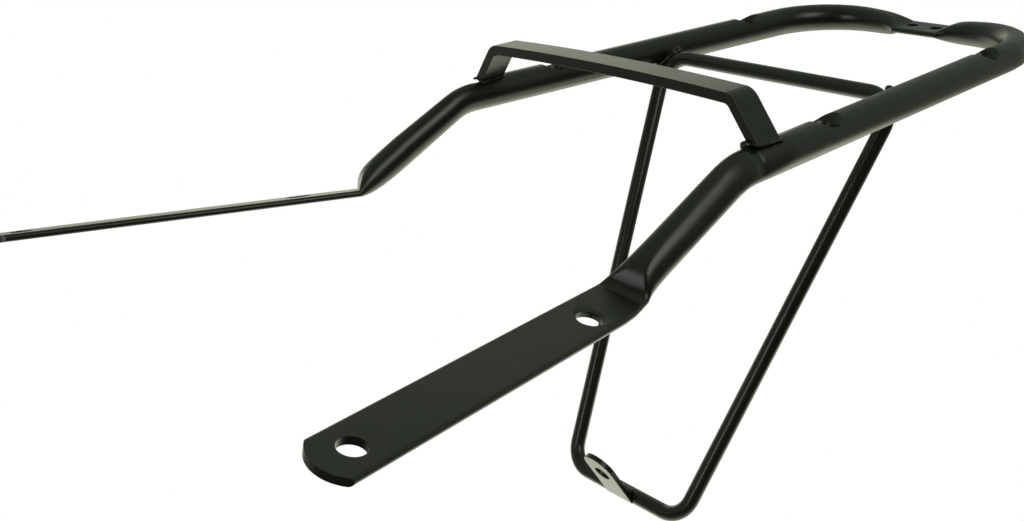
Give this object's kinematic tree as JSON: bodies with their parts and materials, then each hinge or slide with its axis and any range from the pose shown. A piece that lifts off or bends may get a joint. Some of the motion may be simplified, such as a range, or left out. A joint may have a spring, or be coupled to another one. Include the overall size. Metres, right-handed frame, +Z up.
{
  "type": "moped luggage rack",
  "caption": "Rear luggage rack of bent round tube with flattened mounting straps, a flat bridge bar and a rod hoop with a mudguard tab.",
  "frame": {"origin": "midway between the two holes of the flattened rear plate, in its mid-plane", "axes": "+X across the rack to its right side as mounted on the moped, +Y to the rear end, +Z up, square to the platform"},
  "size_m": [0.3702, 0.6494, 0.2965],
  "materials": {
    "black_powder_coat": "satin"
  },
  "bodies": {
    "root": {"main_tube": "black_powder_coat", "bridge_bar": "black_powder_coat", "support_hoop": "black_powder_coat", "fender_tab": "black_powder_coat", "bridge_weld_right": "black_powder_coat", "bridge_weld_left": "black_powder_coat", "hoop_weld_right": "black_powder_coat", "hoop_weld_left": "black_powder_coat", "tab_weld": "black_powder_coat"}
  },
  "joints": []
}
